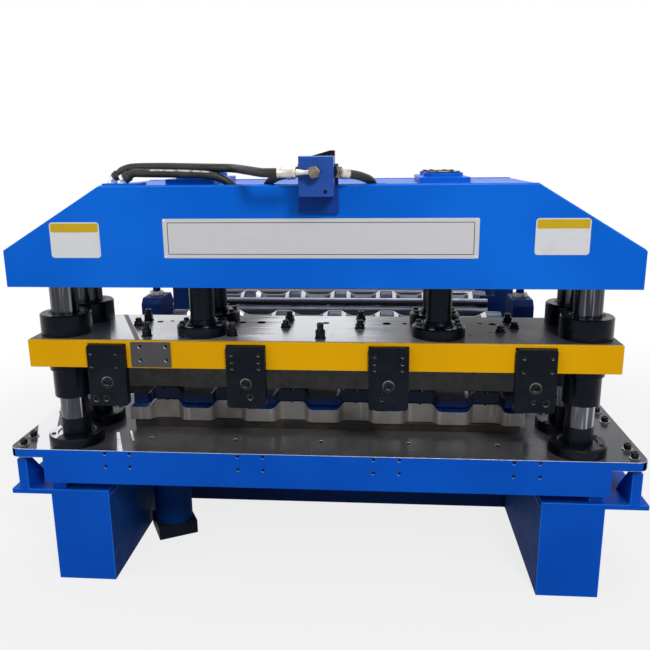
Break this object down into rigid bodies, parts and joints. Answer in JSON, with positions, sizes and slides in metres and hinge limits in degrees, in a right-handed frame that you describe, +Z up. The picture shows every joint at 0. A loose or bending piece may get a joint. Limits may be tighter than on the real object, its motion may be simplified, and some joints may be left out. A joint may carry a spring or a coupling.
{
  "type": "roll forming machine",
  "caption": "Roll former for wavy roofing sheet: pillar-guided hydraulic press with tile-profile dies at the exit, matched profiled rolls on blue side frames behind.",
  "frame": {"origin": "centre of the bounding box on the floor, between the press and the last bay", "axes": "+X to the right seen from the exit end, +Y into the machine against the run of the sheet, +Z up"},
  "size_m": [1.78, 1.8608, 1.2205],
  "materials": {
    "blue_enamel": "glossy blue paint, lightly dusty",
    "forming_frame_blue": "darker blue paint, satin",
    "yellow_enamel": "amber yellow paint, satin",
    "blackened_steel": "blackened steel, oiled",
    "hard_chrome": "hard chrome, polished",
    "ground_steel": "ground steel, bright",
    "bed_steel": "machined steel, dark and oily",
    "die_steel": "machined die steel, satin",
    "upper_die_steel": "hardened die steel, dark",
    "hose_rubber": "black hose rubber"
  },
  "bodies": {
    "machine_frame": {"bed_plate": "bed_steel", "bed_front_beam": "blue_enamel", "bed_rear_beam": "blue_enamel", "bed_left_beam": "blue_enamel", "bed_right_beam": "blue_enamel", "left_foot": "blue_enamel", "right_foot": "blue_enamel", "jack_leg": "blue_enamel", "pillar_left_front": "hard_chrome", "pillar_left_rear": "hard_chrome", "pillar_right_front": "hard_chrome", "pillar_right_rear": "hard_chrome", "crossbeam_front_plate": "blue_enamel", "crossbeam_rear_plate": "blue_enamel", "crossbeam_bottom_plate": "blue_enamel", "crossbeam_top_plate": "blue_enamel", "left_cylinder_pair": "blue_enamel", "right_cylinder_pair": "blue_enamel", "die_base": "bed_steel", "lower_die": "die_steel", "left_side_frame": "forming_frame_blue", "right_side_frame": "forming_frame_blue", "front_cross_member": "forming_frame_blue", "rear_cross_member": "forming_frame_blue", "manifold_block": "blue_enamel", "hose_couplings": "blue_enamel", "pressure_hose_front": "hose_rubber", "pressure_hose_rear": "hose_rubber", "pressure_hose_right": "hose_rubber", "pressure_hose_left": "hose_rubber"},
    "ram": {"ram_plate": "ground_steel", "ram_front_bar": "yellow_enamel", "clamp_block_1": "blackened_steel", "clamp_block_2": "blackened_steel", "clamp_block_3": "blackened_steel", "clamp_block_4": "blackened_steel", "guide_bush_left_front": "blackened_steel", "guide_bush_left_rear": "blackened_steel", "guide_bush_right_front": "blackened_steel", "guide_bush_right_rear": "blackened_steel", "ram_rod_left_front": "blackened_steel", "ram_rod_left_rear": "blackened_steel", "ram_rod_right_front": "blackened_steel", "ram_rod_right_rear": "blackened_steel", "upper_die_holder": "upper_die_steel", "upper_die_blade": "upper_die_steel"},
    "lower_roll_1": {"lower_roll_1": "hard_chrome"},
    "lower_roll_2": {"lower_roll_2": "hard_chrome"},
    "lower_roll_3": {"lower_roll_3": "hard_chrome"},
    "upper_roll_1": {"upper_roll_1": "hard_chrome"},
    "upper_roll_2": {"upper_roll_2": "hard_chrome"},
    "upper_roll_3": {"upper_roll_3": "hard_chrome"}
  },
  "joints": [
    {"name": "ram_slide", "type": "slide", "parent": "machine_frame", "child": "ram", "axis": [0, 0, 1], "range_m": [0, 0.05]},
    {"name": "lower_roll_1_spin", "type": "hinge", "parent": "machine_frame", "child": "lower_roll_1", "pos_m": [0, -0.0376, 0.479], "axis": [1, 0, 0], "continuous": true},
    {"name": "lower_roll_2_spin", "type": "hinge", "parent": "machine_frame", "child": "lower_roll_2", "pos_m": [0, 0.3514, 0.479], "axis": [1, 0, 0], "continuous": true},
    {"name": "lower_roll_3_spin", "type": "hinge", "parent": "machine_frame", "child": "lower_roll_3", "pos_m": [0, 0.7404, 0.479], "axis": [1, 0, 0], "continuous": true},
    {"name": "upper_roll_1_spin", "type": "hinge", "parent": "machine_frame", "child": "upper_roll_1", "pos_m": [0, -0.0376, 0.596], "axis": [1, 0, 0], "continuous": true},
    {"name": "upper_roll_2_spin", "type": "hinge", "parent": "machine_frame", "child": "upper_roll_2", "pos_m": [0, 0.3514, 0.596], "axis": [1, 0, 0], "continuous": true},
    {"name": "upper_roll_3_spin", "type": "hinge", "parent": "machine_frame", "child": "upper_roll_3", "pos_m": [0, 0.7404, 0.596], "axis": [1, 0, 0], "continuous": true}
  ],
  "couplings": [
    {"joint": "lower_roll_2_spin", "follows": "lower_roll_1_spin", "ratio": 1},
    {"joint": "lower_roll_3_spin", "follows": "lower_roll_1_spin", "ratio": 1},
    {"joint": "upper_roll_1_spin", "follows": "lower_roll_1_spin", "ratio": -1},
    {"joint": "upper_roll_2_spin", "follows": "lower_roll_1_spin", "ratio": -1},
    {"joint": "upper_roll_3_spin", "follows": "lower_roll_1_spin", "ratio": -1}
  ]
}
